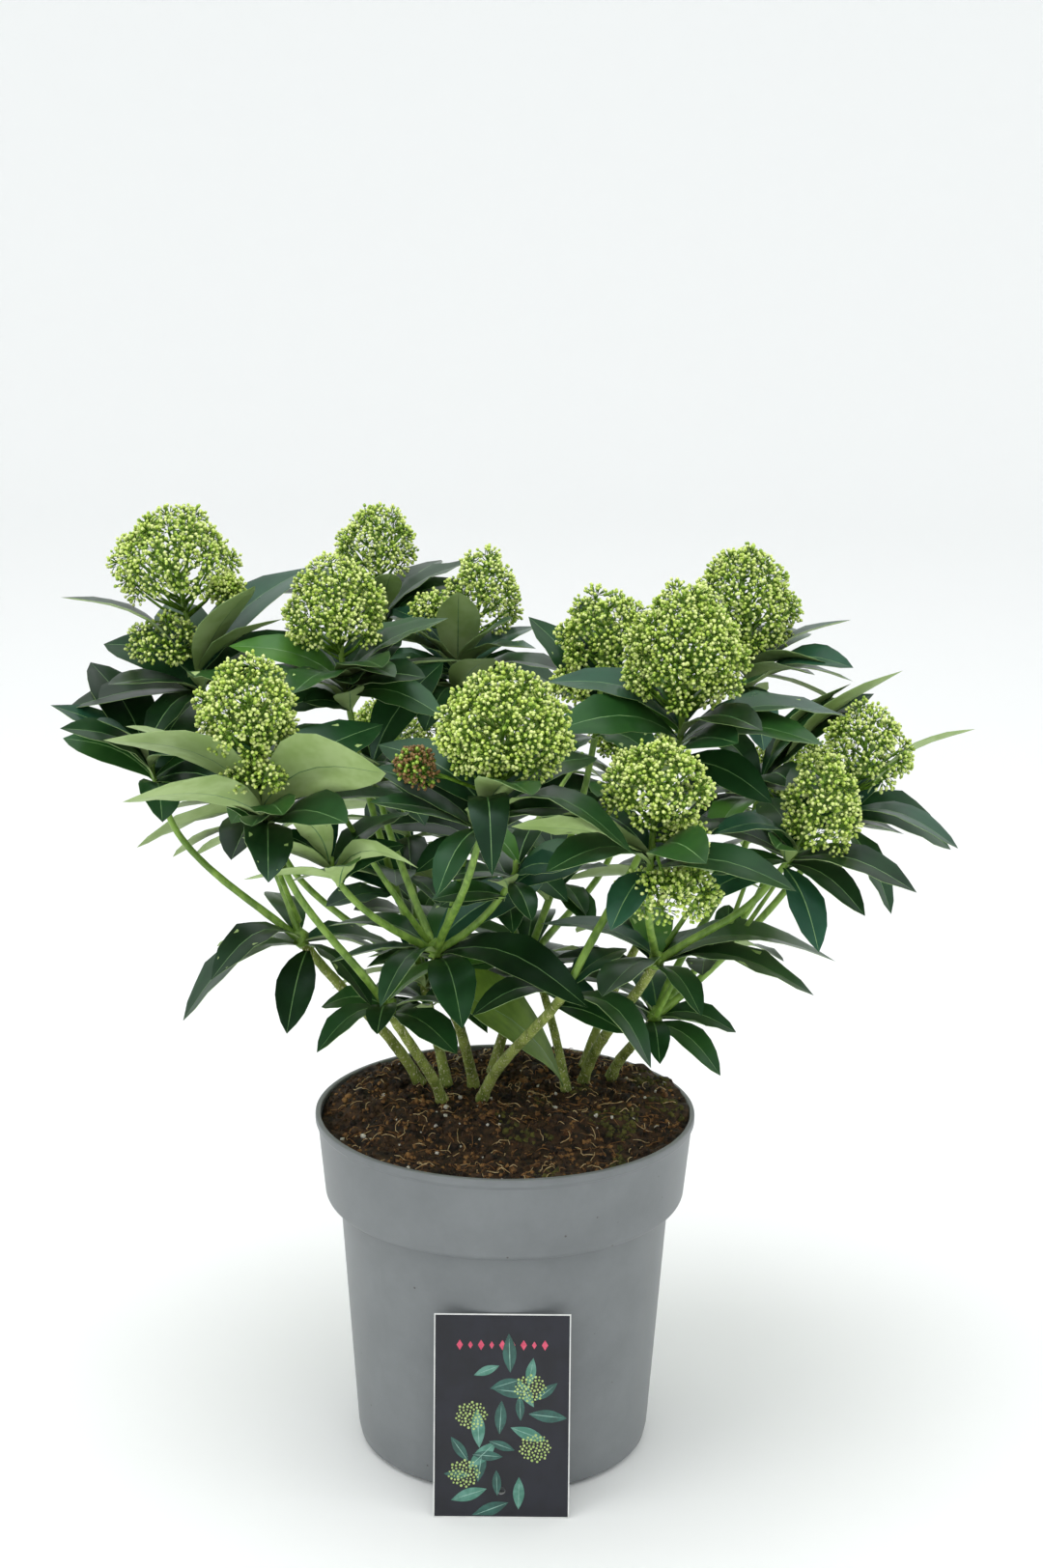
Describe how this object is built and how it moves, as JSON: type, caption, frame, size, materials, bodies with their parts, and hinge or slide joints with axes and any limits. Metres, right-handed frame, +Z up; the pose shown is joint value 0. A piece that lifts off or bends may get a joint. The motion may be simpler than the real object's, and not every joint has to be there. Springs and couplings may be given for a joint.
{
  "type": "potted flowering shrub",
  "caption": "Low evergreen shrub in a grey nursery pot, glossy leaves in rings and domed heads of pale green flower buds, with a blank card against the pot.",
  "frame": {"origin": "middle of the pot's flat underside, on the surface that it stands on", "axes": "+Z up, +Y to the back of the plant as pictured, +X to its right"},
  "size_m": [0.514, 0.4595, 0.551],
  "materials": {
    "pot": "satin",
    "compost": "matte",
    "label": "satin",
    "bark": "matte",
    "shoot": "satin",
    "leaves": "satin",
    "buds_and_leaves": "matte"
  },
  "bodies": {
    "root": {"fork_back": "leaves", "fork_centre": "leaves", "fork_front": "leaves", "fork_left": "leaves", "fork_left_back": "leaves", "fork_left_low": "leaves", "fork_right": "leaves", "fork_right_low": "leaves", "limb_back_far": "shoot", "limb_back_left": "shoot", "limb_back_middle": "shoot", "limb_back_right": "shoot", "limb_centre_back": "shoot", "limb_centre_front": "shoot", "limb_centre_right": "shoot", "limb_far_left": "shoot", "limb_far_right": "shoot", "limb_left_back": "shoot", "limb_left_front": "shoot", "limb_left_high": "shoot", "limb_left_middle": "shoot", "limb_right_front": "shoot", "limb_right_inner": "shoot", "limb_right_low": "shoot", "limb_right_tall": "shoot", "plant_label": "label", "pot": "pot", "soil": "compost", "spray_back_far": "buds_and_leaves", "spray_back_left": "buds_and_leaves", "spray_back_middle": "buds_and_leaves", "spray_back_right": "buds_and_leaves", "spray_centre_back": "buds_and_leaves", "spray_centre_front": "buds_and_leaves", "spray_centre_left": "leaves", "spray_centre_right": "buds_and_leaves", "spray_far_left": "leaves", "spray_far_right": "buds_and_leaves", "spray_inner": "buds_and_leaves", "spray_left_back": "buds_and_leaves", "spray_left_front": "buds_and_leaves", "spray_left_high": "buds_and_leaves", "spray_left_middle": "buds_and_leaves", "spray_right_back": "buds_and_leaves", "spray_right_front": "buds_and_leaves", "spray_right_inner": "leaves", "spray_right_low": "buds_and_leaves", "spray_right_tall": "buds_and_leaves", "spray_small_centre": "leaves", "spray_small_left": "leaves", "stem_back": "bark", "stem_back_thin": "bark", "stem_centre": "bark", "stem_front": "bark", "stem_left": "bark", "stem_left_back": "bark", "stem_left_low": "bark", "stem_right": "bark", "stem_right_low": "bark", "stem_right_thin": "bark"}
  },
  "joints": []
}
